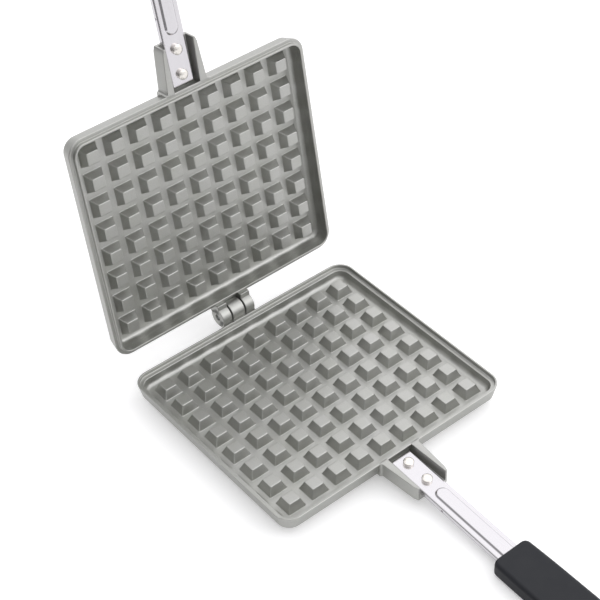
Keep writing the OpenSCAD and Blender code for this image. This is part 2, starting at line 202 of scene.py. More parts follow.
def make_camera():
    """The camera of the photograph, fitted to the stud grid and the rims."""
    azimuth = math.radians(-37.192)
    elevation = math.radians(42.276)
    roll = math.radians(-2.894)
    place = Vector((-0.39238, -0.50578, 0.65945))
    focal_pixels = 1598.33
    picture_pixels = 600
    back = Vector((math.sin(azimuth) * math.cos(elevation),
                   -math.cos(azimuth) * math.cos(elevation), math.sin(elevation)))
    level = Vector((0, 0, 1)).cross(back).normalized()
    upright = back.cross(level)
    right = math.cos(roll) * level + math.sin(roll) * upright
    up = math.cos(roll) * upright - math.sin(roll) * level
    data = bpy.data.cameras.new("camera")
    data.sensor_width = 36
    data.lens = data.sensor_width * focal_pixels / picture_pixels
    data.clip_start = 0.01
    camera = bpy.data.objects.new("camera", data)
    camera.matrix_world = Matrix.Translation(place) @ Matrix((right, up, back)).transposed().to_4x4()
    scene.collection.objects.link(camera)
    scene.camera = camera


# Meshes

def new_object(name, vertices, faces):
    """Object with a mesh of its own, in the scene."""
    mesh = bpy.data.meshes.new(name)
    mesh.from_pydata([tuple(v) for v in vertices], [], faces)
    mesh.update()
    made = bpy.data.objects.new(name, mesh)
    scene.collection.objects.link(made)
    return made


def rounded_corners(corners, steps, closed=False):
    """Points of an outline whose corners (a, b, radius) are rounded with arcs."""
    points = []
    count = len(corners)
    for index, (a, b, radius) in enumerate(corners):
        at_end = not closed and index in (0, count - 1)
        if radius == 0 or at_end:
            points.append((a, b))
            continue
        here = Vector((a, b))
        before = (Vector(corners[index - 1][:2]) - here).normalized()
        after = (Vector(corners[(index + 1) % count][:2]) - here).normalized()
        half = before.angle(after) / 2
        centre = here + (before + after).normalized() * (radius / math.sin(half))
        start = here + before * (radius / math.tan(half)) - centre
        end = here + after * (radius / math.tan(half)) - centre
        first = math.atan2(start.y, start.x)
        turn = (math.atan2(end.y, end.x) - first + math.pi) % (2 * math.pi) - math.pi
        for step in range(steps + 1):
            angle = first + turn * step / steps
            points.append((centre.x + radius * math.cos(angle), centre.y + radius * math.sin(angle)))
    return points


def rounded_rectangle(half_x, half_y, radius, z, steps):
    """Points of a level rounded rectangle, anticlockwise from above."""
    ring = []
    for quarter, (sx, sy) in enumerate(((1, 1), (-1, 1), (-1, -1), (1, -1))):
        for step in range(steps + 1):
            angle = (quarter + step / steps) * math.pi / 2
            ring.append((sx * (half_x - radius) + radius * math.cos(angle),
                         sy * (half_y - radius) + radius * math.sin(angle), z))
    return ring


def circle(radius, z, steps):
    """Points of a level circle about the vertical axis."""
    angles = [2 * math.pi * step / steps for step in range(steps)]
    return [(radius * math.cos(a), radius * math.sin(a), z) for a in angles]


def quarter_turn(steps):
    """Angles from 0 to 90 degrees."""
    return [math.pi / 2 * step / steps for step in range(steps + 1)]


def spaced(first, last, count):
    """Evenly spaced values, both ends among them."""
    return [first + (last - first) * step / (count - 1) for step in range(count)]


def draws_in(radius, distance):
    """How far a rounded end of that radius draws in at a distance from its face."""
    left = max(0.0, radius - distance)
    return radius - math.sqrt(max(0.0, radius ** 2 - left ** 2))


def loft(name, rings, caps=True, closed=False):
    """Skin over rings of equal counts. Rings seen anticlockwise go from the top or inside outwards."""
    count = len(rings[0])
    vertices = [point for ring in rings for point in ring]
    faces = []
    for i in range(len(rings) if closed else len(rings) - 1):
        here = i * count
        there = (i + 1) % len(rings) * count
        for j in range(count):
            k = (j + 1) % count
            faces.append((here + j, there + j, there + k, here + k))
    if caps and not closed:
        last = (len(rings) - 1) * count
        faces.append(tuple(range(count)))
        faces.append(tuple(reversed(range(last, last + count))))
    return new_object(name, vertices, faces)


def across(name, outline, width, middle=0.0):
    """Solid from a side view (y, z), anticlockwise seen from +X, over a width along X."""
    low = [(middle - width / 2, y, z) for y, z in outline]
    high = [(middle + width / 2, y, z) for y, z in outline]
    return loft(name, [high, low])


def slab(name, half_x, near_y, far_y, top_z, bottom_z):
    """Plain block about the middle of the handle."""
    plan = [(half_x, near_y), (-half_x, near_y), (-half_x, far_y), (half_x, far_y)]
    return loft(name, [[(x, y, z) for x, y in plan] for z in (top_z, bottom_z)])


def modify(piece, kind, **settings):
    """Applies one modifier and leaves a plain mesh."""
    modifier = piece.modifiers.new(kind.lower(), kind)
    for key, value in settings.items():
        setattr(modifier, key, value)
    return settle(piece)


def settle(piece):
    """Turns a piece with modifiers into the plain mesh that they give."""
    graph = bpy.context.evaluated_depsgraph_get()
    mesh = bpy.data.meshes.new_from_object(piece.evaluated_get(graph))
    piece.modifiers.clear()
    piece.data = mesh
    return piece


def soften(piece, width, steps=3, angle=40):
    """Rounds the edges that are sharper than an angle."""
    return modify(piece, "BEVEL", width=width, segments=steps, limit_method="ANGLE",
                  angle_limit=math.radians(angle))


def cut(piece, *cutters):
    """Takes the cutters out of a piece, and removes them."""
    for cutter in cutters:
        modify(piece, "BOOLEAN", operation="DIFFERENCE", solver="EXACT", object=cutter)
        bpy.data.objects.remove(cutter)
    return piece


def moved(piece, matrix):
    """The same piece with its mesh in another place."""
    piece.data.transform(matrix)
    return piece


def joined(name, parts):
    """One object from several, which go."""
    shape = bmesh.new()
    for part in parts:
        shape.from_mesh(part.data)
    mesh = bpy.data.meshes.new(name)
    shape.to_mesh(mesh)
    shape.free()
    for part in parts:
        bpy.data.objects.remove(part)
    made = bpy.data.objects.new(name, mesh)
    scene.collection.objects.link(made)
    return made


def finish_piece(piece, finish, body, replaced, place=None, crease=35):
    """Smooth shading with flat faces kept flat, the finish, and the place in the CAD's frame."""
    piece.data.transform(to_metres @ (place or Matrix.Identity(4)))
    piece.data.materials.clear()
    piece.data.materials.append(finish)
    piece.data.shade_smooth()
    piece.data.set_sharp_from_angle(angle=math.radians(crease))
    modify(piece, "WEIGHTED_NORMAL", keep_sharp=True, weight=60)
    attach(piece, body)
    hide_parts(*replaced)
    return piece


# Materials

def linear(hex_colour):
    """Linear RGBA of an sRGB hex value."""
    shares = [int(hex_colour[i:i + 2], 16) / 255 for i in (1, 3, 5)]
    return [s / 12.92 if s <= 0.04045 else ((s + 0.055) / 1.055) ** 2.4 for s in shares] + [1]


def add_node(tree, kind, settings=None, **inputs):
    """Adds a node. An input is a value, or the socket that feeds it; _ in a name stands for a space."""
    node = tree.nodes.new(kind)
    for key, value in (settings or {}).items():
        setattr(node, key, value)
    for key, value in inputs.items():
        socket = node.inputs[int(key[1:]) if key[1:].isdigit() else key.replace("_", " ")]
        if isinstance(value, bpy.types.NodeSocket):
            tree.links.new(value, socket)
        else:
            socket.default_value = value
    return node


def per_metre(size_mm):
    """Noise scale whose grains are about that many millimetres apart."""
    return METRE / size_mm


def new_material(name):
    """Empty node material, and its tree."""
    material = bpy.data.materials.new(name)
    material.use_nodes = True
    tree = material.node_tree
    tree.nodes.clear()
    return material, tree


def object_place(tree):
    """Place of a point on its object, in metres."""
    return add_node(tree, "ShaderNodeTexCoord").outputs["Object"]


def show(tree, shader):
    """Connects a shader to the material's output."""
    add_node(tree, "ShaderNodeOutputMaterial", Surface=shader.outputs[0])


def coated_cast_aluminium():
    """Die-cast aluminium under a sprayed and baked silver-grey non-stick coat: satin, slightly
    mottled, with the fine orange peel of the spray and a trace of the casting's grain."""
    material, tree = new_material("coated_cast_aluminium")
    place = object_place(tree)
    mottle = add_node(tree, "ShaderNodeTexNoise", Vector=place, Scale=per_metre(14), Detail=3.0)
    grain = add_node(tree, "ShaderNodeTexNoise", Vector=place, Scale=per_metre(0.7), Detail=2.0)
    tone = add_node(tree, "ShaderNodeMix", {"data_type": "RGBA"}, Factor=mottle.outputs["Fac"],
                    _6=linear("#b1b2ac"), _7=linear("#babab8"))
    speck = add_node(tree, "ShaderNodeMapRange", Value=grain.outputs["Fac"], From_Min=0.3,
                     From_Max=0.7, To_Min=0.95, To_Max=1.04)
    colour = add_node(tree, "ShaderNodeVectorMath", {"operation": "SCALE"},
                      Vector=tone.outputs[2], Scale=speck.outputs["Result"])
    gloss = add_node(tree, "ShaderNodeMapRange", Value=grain.outputs["Fac"], From_Min=0.3,
                     From_Max=0.7, To_Min=0.38, To_Max=0.46)
    peel = add_node(tree, "ShaderNodeTexNoise", Vector=place, Scale=per_metre(1.6), Detail=2.0)
    bump = add_node(tree, "ShaderNodeBump", Strength=0.12, Distance=0.0002, Height=peel.outputs["Fac"])
    shader = add_node(tree, "ShaderNodeBsdfPrincipled", Base_Color=colour.outputs["Vector"],
                      Metallic=1.0, Roughness=gloss.outputs["Result"], Normal=bump.outputs["Normal"])
    show(tree, shader)
    return material


def polished_sheet_steel():
    """Steel sheet pressed and buffed along its length: bright, with faint long polishing lines."""
    material, tree = new_material("polished_sheet_steel")
    place = object_place(tree)
    stretched = add_node(tree, "ShaderNodeMapping", Vector=place, Scale=(1.0, 0.03, 0.03))
    lines = add_node(tree, "ShaderNodeTexNoise", Vector=stretched.outputs["Vector"],
                     Scale=per_metre(0.5), Detail=3.0)
    gloss = add_node(tree, "ShaderNodeMapRange", Value=lines.outputs["Fac"], From_Min=0.3,
                     From_Max=0.7, To_Min=0.16, To_Max=0.24)
    bump = add_node(tree, "ShaderNodeBump", Strength=0.04, Distance=0.0001, Height=lines.outputs["Fac"])
    shader = add_node(tree, "ShaderNodeBsdfPrincipled", Base_Color=linear("#d6d4d7"), Metallic=1.0,
                      Roughness=gloss.outputs["Result"], Normal=bump.outputs["Normal"])
    show(tree, shader)
    return material


def headed_rivet_steel():
    """Cold-headed rivet steel, tumbled bright: a little warmer and softer than the sheet."""
    material, tree = new_material("headed_rivet_steel")
    place = object_place(tree)
    dents = add_node(tree, "ShaderNodeTexNoise", Vector=place, Scale=per_metre(1.2), Detail=2.0)
    gloss = add_node(tree, "ShaderNodeMapRange", Value=dents.outputs["Fac"], From_Min=0.3,
                     From_Max=0.7, To_Min=0.2, To_Max=0.3)
    bump = add_node(tree, "ShaderNodeBump", Strength=0.06, Distance=0.0002, Height=dents.outputs["Fac"])
    shader = add_node(tree, "ShaderNodeBsdfPrincipled", Base_Color=linear("#e9e5df"), Metallic=1.0,
                      Roughness=gloss.outputs["Result"], Normal=bump.outputs["Normal"])
    show(tree, shader)
    return material


def zinc_plated_steel():
    """Bright zinc plating with a thin blue passivation, duller where it was handled."""
    material, tree = new_material("zinc_plated_steel")
    place = object_place(tree)
    clouds = add_node(tree, "ShaderNodeTexNoise", Vector=place, Scale=per_metre(4), Detail=3.0)
    tone = add_node(tree, "ShaderNodeMix", {"data_type": "RGBA"}, Factor=clouds.outputs["Fac"],
                    _6=linear("#b9bec6"), _7=linear("#c9c8c4"))
    gloss = add_node(tree, "ShaderNodeMapRange", Value=clouds.outputs["Fac"], From_Min=0.3,
                     From_Max=0.7, To_Min=0.26, To_Max=0.4)
    shader = add_node(tree, "ShaderNodeBsdfPrincipled", Base_Color=tone.outputs[2], Metallic=1.0,
                      Roughness=gloss.outputs["Result"])
    show(tree, shader)
    return material


def moulded_phenolic():
    """Compression-moulded black phenolic resin: blue-black, satin, with a fine eroded mould grain."""
    material, tree = new_material("moulded_phenolic")
    place = object_place(tree)
    clouds = add_node(tree, "ShaderNodeTexNoise", Vector=place, Scale=per_metre(9), Detail=3.0)
    grain = add_node(tree, "ShaderNodeTexNoise", Vector=place, Scale=per_metre(0.6), Detail=2.0)
    tone = add_node(tree, "ShaderNodeMix", {"data_type": "RGBA"}, Factor=clouds.outputs["Fac"],
                    _6=linear("#0d1017"), _7=linear("#12151d"))
    gloss = add_node(tree, "ShaderNodeMapRange", Value=clouds.outputs["Fac"], From_Min=0.3,
                     From_Max=0.7, To_Min=0.5, To_Max=0.6)
    bump = add_node(tree, "ShaderNodeBump", Strength=0.15, Distance=0.0001, Height=grain.outputs["Fac"])
    shader = add_node(tree, "ShaderNodeBsdfPrincipled", Base_Color=tone.outputs[2],
                      Roughness=gloss.outputs["Result"], IOR=1.45, Normal=bump.outputs["Normal"])
    show(tree, shader)
    return material


# Cast plates

def tray_shell(name, rim):
    """Skin of a plate: tray wall, rim and outside, from a profile of (corner radius, height, rounding)."""
    wall_foot = CORNER_RADIUS - RIM_WIDTH - WALL_DRAFT
    chamfer_top = CORNER_RADIUS - SIDE_DRAFT
    chamfer_foot = chamfer_top - SIDE_CHAMFER
    under_studs = 4.0
    over_pad = 2.0
    least_radius = 0.5
    profile = [(wall_foot - under_studs, FLOOR_Z, 0), (wall_foot, FLOOR_Z, COVE_RADIUS)]
    profile += rim
    profile += [(CORNER_RADIUS, LIP_Z, 0.45), (chamfer_top, PAD_HEIGHT + CHAMFER_HEIGHT, 1.2),
                (chamfer_foot, PAD_HEIGHT, 0.6), (chamfer_foot - over_pad, PAD_HEIGHT, 0)]
    flat_x = HALF_X - CORNER_RADIUS
    flat_y = HALF_Y - CORNER_RADIUS
    rings = [rounded_rectangle(flat_x + radius, flat_y + radius, max(radius, least_radius), z, 14)
             for radius, z in rounded_corners(profile, 4)]
    return loft(name, rings)


def lower_rim():
    """Ledge and lip of the lower plate, as (corner radius, height, rounding)."""
    inner = CORNER_RADIUS - RIM_WIDTH
    lip = CORNER_RADIUS - LIP_WIDTH
    return [(inner, LEDGE_Z, 0.5), (lip, LEDGE_Z, 0.5), (lip, LIP_Z, 0.4)]


def upper_rim():
    """Tongue of the upper plate and the step round it, as (corner radius, height, rounding)."""
    inner = CORNER_RADIUS - RIM_WIDTH
    tongue = CORNER_RADIUS - STEP_WIDTH
    tongue_z = LIP_Z + TONGUE_HEIGHT
    return [(inner, LEDGE_Z, 0.3), (inner, tongue_z, 0.4), (tongue, tongue_z, 0.4), (tongue, LIP_Z, 0.4)]


def stud():
    """One stud with a small fillet at its foot and softened edges."""
    top = STUD_TOP / 2
    foot = STUD_FOOT / 2
    crown_edge = 1.5
    fillet = 0.6
    sunk = 0.05
    corner = 0.6
    profile = rounded_corners([(top - crown_edge, STUD_HEIGHT, 0), (top, STUD_HEIGHT, 0.55),
                               (foot, 0, 0.5), (foot + fillet, -sunk, 0)], 3)
    rings = [rounded_rectangle(half, half, corner, z, 3) for half, z in profile]
    return loft("stud", rings)


def repeat_nodes(name):
    """Geometry Nodes that put a copy of an object on each point of a grid and give them a finish."""
    tree = bpy.data.node_groups.new(name, "GeometryNodeTree")
    sockets = (("Columns", "NodeSocketInt"), ("Rows", "NodeSocketInt"), ("Spacing", "NodeSocketFloat"),
               ("Copied", "NodeSocketObject"), ("Finish", "NodeSocketMaterial"))
    identifiers = {}
    for label, kind in sockets:
        made = tree.interface.new_socket(label, in_out="INPUT", socket_type=kind)
        identifiers[label] = made.identifier
    tree.interface.new_socket("Geometry", in_out="OUTPUT", socket_type="NodeSocketGeometry")
    given = add_node(tree, "NodeGroupInput").outputs
    sizes = []
    for label in ("Columns", "Rows"):
        gaps = add_node(tree, "ShaderNodeMath", {"operation": "SUBTRACT"}, _0=given[label], _1=1.0)
        sizes.append(add_node(tree, "ShaderNodeMath", {"operation": "MULTIPLY"},
                              _0=gaps.outputs[0], _1=given["Spacing"]).outputs[0])
    grid = add_node(tree, "GeometryNodeMeshGrid", Size_X=sizes[0], Size_Y=sizes[1],
                    Vertices_X=given["Columns"], Vertices_Y=given["Rows"])
    copied = add_node(tree, "GeometryNodeObjectInfo", Object=given["Copied"])
    placed = add_node(tree, "GeometryNodeInstanceOnPoints", Points=grid.outputs["Mesh"],
                      Instance=copied.outputs["Geometry"])
    real = add_node(tree, "GeometryNodeRealizeInstances", Geometry=placed.outputs["Instances"])
    coated = add_node(tree, "GeometryNodeSetMaterial", Geometry=real.outputs["Geometry"],
                      Material=given["Finish"])
    add_node(tree, "NodeGroupOutput", Geometry=coated.outputs["Geometry"])
    return tree, identifiers


def repeated(name, copied, columns, rows, spacing, finish):
    """A plain mesh with columns by rows copies of an object, which goes."""
    tree, identifiers = repeat_nodes(name + "_nodes")
    holder = new_object(name, [(0, 0, 0)], [])
    modifier = holder.modifiers.new(name, "NODES")
    modifier.node_group = tree
    values = {"Columns": columns, "Rows": rows, "Spacing": spacing, "Copied": copied, "Finish": finish}
    for label, value in values.items():
        modifier[identifiers[label]] = value
    settle(holder)
    bpy.data.objects.remove(copied)
    return holder


def knuckle(width, middle):
    """Barrel of a hinge knuckle, bored for the pin, with eased edges."""
    half = width / 2
    bore_ease = 0.25
    rim_ease = 0.5
    outline = rounded_corners([(BORE_RADIUS, half, bore_ease), (KNUCKLE_RADIUS, half, rim_ease),
                               (KNUCKLE_RADIUS, -half, rim_ease), (BORE_RADIUS, -half, bore_ease)],
                              3, closed=True)
    barrel = loft("knuckle", [circle(radius, z, 64) for radius, z in outline], closed=True)
    return moved(barrel, Matrix.Translation((middle, AXIS_Y, AXIS_Z)) @ lying_across)


def arm(width, middle, top_y, top_z):
    """Arm from a knuckle into the plate's back wall, up to the given corner."""
    in_wall = (HALF_Y - 3, PAD_HEIGHT + CHAMFER_HEIGHT + 1)
    under_axis = (AXIS_Y - 2, AXIS_Z - KNUCKLE_RADIUS + 0.25)
    beside_bore = AXIS_Y - BORE_RADIUS - BORE_WALL
    outline = [(top_y, top_z), in_wall, under_axis, (beside_bore, AXIS_Z - 2.2), (beside_bore, top_z)]
    return soften(across("arm", outline, width, middle), 0.4)


def hinge_web():
    """Web of the upper plate that curves under the middle knuckle, between the outer arms."""
    curve_radius = KNUCKLE_RADIUS + 0.15
    wall_y = HALF_Y - 1.8
    bottom = AXIS_Z - KNUCKLE_RADIUS - 0.6
    into_arms = 0.4
    outline = [(wall_y, LIP_Z - 0.4), (wall_y, bottom), (AXIS_Y, bottom)]
    outline += [(AXIS_Y - curve_radius * math.sin(a), AXIS_Z - curve_radius * math.cos(a))
                for a in spaced(math.radians(5), math.radians(65), 9)]
    return across("web", outline, MIDDLE_KNUCKLE + 2 * KNUCKLE_GAP + into_arms)


def bracket_section(distance, inset=0.0):
    """Channel section of the bracket at a distance from the plate, made smaller all round by inset."""
    taper = BRACKET_LENGTH - BRACKET_NOSE
    if distance < taper:
        wide = BRACKET_ROOT + (BRACKET_END - BRACKET_ROOT) * distance / taper
    else:
        wide = BRACKET_END + (BRACKET_TIP - BRACKET_END) * (distance - taper) / BRACKET_NOSE
    wide += draws_in(ROOT_FILLET, distance) - inset
    pocket = POCKET_ROOT + (POCKET_END - POCKET_ROOT) * distance / BRACKET_LENGTH + inset
    slope = math.radians(BAR_SLOPE)
    seat = BAR_LEVEL - (distance - BAR_GAP) * math.tan(slope) - BAR_DEPTH / math.cos(slope) - inset
    top = LIP_Z - inset
    bottom = BRACKET_BOTTOM + inset
    edge = max(0.03, 0.35 - inset)
    root = 0.6 + inset
    corners = [(-wide, bottom, edge), (-wide, top, edge), (-pocket, top, edge), (-pocket, seat, root),
               (pocket, seat, root), (pocket, top, edge), (wide, top, edge), (wide, bottom, edge)]
    return rounded_corners(corners, 3, closed=True)


def bar_bracket():
    """Cast channel on the plate's front, with the land on which the bar is riveted."""
    buried = 1.0
    eased = 0.3
    root = [(x, buried - HALF_Y + WALL_SLOPE * (LIP_Z - z), z) for x, z in bracket_section(0)]
    stations = [(distance, 0.0) for distance in spaced(0, ROOT_FILLET, 7)]
    stations += [(BRACKET_LENGTH - BRACKET_NOSE, 0.0)]
    stations += [(BRACKET_LENGTH - eased * (1 - math.sin(a)), eased * (1 - math.cos(a)))
                 for a in quarter_turn(3)]
    rings = [root] + [[(x, -HALF_Y - distance, z) for x, z in bracket_section(distance, inset)]
                      for distance, inset in stations]
    block = loft("bracket", rings)
    recess_radius = RIVET_HEAD / 2 + 0.3
    recess_heights = (-FLOOR_SEAT, -FLOOR_SEAT - 4)
    recesses = []
    for distance in (RIVET_INSET, RIVET_INSET + RIVET_SPACING):
        recess = loft("recess", [circle(recess_radius, z, 32) for z in recess_heights])
        recesses.append(moved(recess, on_bar @ Matrix.Translation((0, -distance, 0))))
    cut(block, *recesses)
    land_half = BAR_WIDTH / 2 - BAR_SHEET - 0.8
    land = slab("land", land_half, -1, 2 - BRACKET_LENGTH, -BAR_SHEET, -BAR_DEPTH - 0.6)
    return [block, moved(land, on_bar)]


def heating_pad():
    """Flat pad under the plate, on which it stands on the hob, from a profile of (growth, height)."""
    buried = PAD_HEIGHT + 1
    draft = 1.0
    cap_edge = 3.0
    profile = rounded_corners([(-cap_edge, buried, 0), (0, buried, 0), (-draft, 0, 0.6),
                               (-draft - cap_edge, 0, 0)], 4)
    rings = [rounded_rectangle(HALF_X - PAD_INSET + grow, HALF_Y - PAD_INSET + grow,
                               max(PAD_CORNER + grow, 0.5), z, 10) for grow, z in profile]
    return loft("pad", rings)


def heel_outline():
    """Side view of the heel that stops the open plate at the lower plate's back wall."""
    rise = AXIS_Z - LIP_Z
    near = HALF_Y + 0.4
    clear = 0.08
    outline = [(near, AXIS_Z), (near, LIP_Z)]
    outline += [(HALF_Y - WALL_SLOPE * (drop - rise) + clear, AXIS_Z - drop)
                for drop in (HEEL_START, HEEL_END)]
    outline += [(AXIS_Y - 1, AXIS_Z - HEEL_END + 0.3), (AXIS_Y - BORE_RADIUS - BORE_WALL, AXIS_Z)]
    return outline


def waffle_plate(side, finish):
    """One whole casting: tray, studs, pad, bracket and hinge knuckles."""
    place = HALVES[side]
    lower = side == "lower"
    field = repeated("stud_field", stud(), STUD_COLUMNS, STUD_ROWS, STUD_PITCH, finish)
    parts = [tray_shell("shell", lower_rim() if lower else upper_rim()),
             moved(field, Matrix.Translation((0, 0, FLOOR_Z))), heating_pad()]
    parts += bar_bracket()
    if lower:
        parts += [knuckle(MIDDLE_KNUCKLE, 0), arm(MIDDLE_KNUCKLE, 0, HALF_Y - 0.9, LIP_Z - 0.05)]
    else:
        middle = MIDDLE_KNUCKLE / 2 + KNUCKLE_GAP + SIDE_KNUCKLE / 2
        # Shut, the shoulders rest on the lower plate's lip
        shoulder_z = 2 * AXIS_Z - LIP_Z - 0.03
        for x in (-middle, middle):
            parts += [knuckle(SIDE_KNUCKLE, x), arm(SIDE_KNUCKLE, x, HALF_Y - STEP_WIDTH, shoulder_z)]
            heel = soften(across("heel", heel_outline(), SIDE_KNUCKLE, x), 0.3)
            parts.append(moved(heel, place.inverted()))
        parts.append(hinge_web())
    plate = joined(side + "_cast_plate", parts)
    finish_piece(plate, finish, side, [side + "_plate"], place)


# Steel and plastic pieces

def rib_rise(x, y):
    """Height of the pressed rib at a point of the bar's top."""
    middle = RIB_START + RIB_WIDTH / 2
    from_spine = math.hypot(x, max(0.0, middle - y))
    share = min(1.0, max(0.0, (RIB_WIDTH / 2 - from_spine) / RIB_FLANK))
    return RIB_HEIGHT * share * share * (3 - 2 * share)


def bar_section(y, inset):
    """Closed outline of the pressed sheet at a distance from the bar's plate end."""
    half = BAR_WIDTH / 2
    flat = half - BEND_RADIUS
    bend = BEND_RADIUS - inset
    foot = inset - BAR_DEPTH
    top = [flat - 2 * flat * step / 56 for step in range(1, 56)]
    angles = quarter_turn(6)
    outside = [(inset - half, foot)]
    outside += [(-flat - bend * math.cos(a), bend * math.sin(a) - BEND_RADIUS) for a in angles]
    outside += [(-x, rib_rise(x, y) - inset) for x in top]
    outside += [(flat + bend * math.sin(a), bend * math.cos(a) - BEND_RADIUS) for a in angles]
    outside += [(half - inset, foot)]
    inner = half - BAR_SHEET
    inner_bend = 0.4
    corner = inner - inner_bend
    rib_inside = RIB_WIDTH / 2 - 0.4
    ceiling = inset - BAR_SHEET
    inside = [(inner + inset, foot)]
    inside += [(corner + inner_bend * math.cos(a), ceiling - inner_bend * (1 - math.sin(a)))
               for a in angles]
    inside += [(x, ceiling + (rib_rise(x, y) if abs(x) < rib_inside else 0))
               for x in top if abs(x) < corner]
    inside += [(-corner - inner_bend * math.sin(a), ceiling - inner_bend * (1 - math.cos(a)))
               for a in angles]
    inside += [(-inner - inset, foot)]
    return [(x, -y, z) for x, z in outside + inside]


def handle_bar(side, finish):
    """Pressed bar with turned-down sides, a long round-ended rib and the tang inside the grip."""
    length = BAR_REACH + MOUTH_DEPTH - 1
    rib_round = RIB_START + RIB_WIDTH / 2
    eased = 0.25
    stations = [(eased * (1 - math.cos(a)), eased * (1 - math.sin(a))) for a in quarter_turn(3)]
    # The sections lie close together where the rib rises
    flat_marks = spaced(1, RIB_START - 4, 7)
    round_marks = spaced(RIB_START - 1, rib_round + 0.7, 32)
    straight_marks = spaced(rib_round + 2, length - 1.5, 18)
    stations += [(y, 0.0) for y in flat_marks + round_marks + straight_marks + [length]]
    bar = loft("bar", [bar_section(y, inset) for y, inset in stations])
    moved(bar, on_bar)
    drill = loft("drill", [circle(SIDE_HOLE / 2, z, 24) for z in (BAR_WIDTH, -BAR_WIDTH)])
    moved(drill, on_bar @ Matrix.Translation((0, -SIDE_HOLE_Y, -SIDE_HOLE_DEPTH)) @ lying_across)
    cut(bar, drill)
    tang = slab("tang", TANG_WIDTH / 2, GRIP_Y - 1, GRIP_Y - TANG_LENGTH, TANG_TOP, TANG_TOP - BAR_SHEET)
    whole = joined(side + "_pressed_bar", [bar, tang])
    finish_piece(whole, finish, side, [side + "_bar"], HALVES[side])


def rivet():
    """Button-headed rivet with a closed tail, its head's underside at height 0."""
    head = RIVET_HEAD / 2
    shank = RIVET_SHANK / 2
    centre = 0.4
    bulge = RIVET_HEAD * 1.1
    eased = 0.12
    dome_edge = head * 0.97
    dome = [dome_edge * step / 9 for step in range(1, 10)]
    profile = [(centre, RIVET_DOME)]
    profile += [(radius, RIVET_DOME - bulge + math.sqrt(bulge ** 2 - radius ** 2)) for radius in dome]
    profile += [(head, profile[-1][1] - 0.2), (head, eased), (head - eased, 0)]
    tail = -FLOOR_SEAT
    tail_end = tail - TAIL_HEIGHT
    profile += [(shank, 0), (shank, tail), (head, tail), (head, tail_end + 0.4),
                (head - 0.5, tail_end), (centre, tail_end)]
    return loft("rivet", [circle(radius, z, 40) for radius, z in profile])


def rivet_pair(side, finish):
    """The two rivets of a bar, as one piece."""
    pair = repeated(side + "_rivets", rivet(), 1, 2, RIVET_SPACING, finish)
    middle = RIVET_INSET + RIVET_SPACING / 2
    moved(pair, on_bar @ Matrix.Translation((0, -middle, 0)))
    finish_piece(pair, finish, side,
                 [side + "_inner_rivet", side + "_outer_rivet"], HALVES[side], crease=50)


def grip_underside(y):
    """Height of the grip's underside, with the stepped toe near its end."""
    points = [(PIVOT_Y + TOE_REACH + TOE_SLOPE - 0.8, GRIP_BOTTOM), (PIVOT_Y + TOE_REACH, TOE_BOTTOM),
              (PIVOT_Y, TOE_BOTTOM), (GRIP_END - 1, TOE_BOTTOM + TOE_RISE)]
    if y >= points[0][0]:
        return GRIP_BOTTOM
    for (y0, z0), (y1, z1) in zip(points, points[1:]):
        if y >= y1:
            return z0 + (z1 - z0) * (y0 - y) / (y0 - y1)
    return points[-1][1]


def grip_section(y):
    """Closed section of the grip at a distance along the handle."""
    along = GRIP_FRONT - y
    left = y - GRIP_END
    swell = math.sin(min(1.0, along / SWELL) * math.pi / 2)
    inset = draws_in(NECK_EDGE, along)
    drop = draws_in(END_DROP, left)
    half = GRIP_NECK / 2 + (GRIP_WIDTH - GRIP_NECK) / 2 * swell
    half -= draws_in(NECK_RADIUS, along) + draws_in(END_RADIUS, left)
    bottom = grip_underside(y)
    toe_share = min(1.0, (bottom - GRIP_BOTTOM) / (TOE_BOTTOM - GRIP_BOTTOM))
    sharper = inset * 0.8
    edge = max(LEAST_RADIUS, GRIP_EDGE - sharper)
    side = max(LEAST_RADIUS, GRIP_SIDE + (TOE_SIDE - GRIP_SIDE) * toe_share - sharper)
    top = GRIP_TOP - inset - drop * TOP_SHARE
    bottom += inset + drop * BOTTOM_SHARE
    # Near the rounded end the section gets too small for its radii, so they shrink with it
    room = min(1.0, 0.9 * (top - bottom) / (edge + side), 0.9 * half / max(edge, side))
    edge *= room
    side *= room
    corners = [(-half, bottom, side), (-half, top, edge), (half, top, edge), (half, bottom, side)]
    return [(x, y, z) for x, z in rounded_corners(corners, 7, closed=True)]


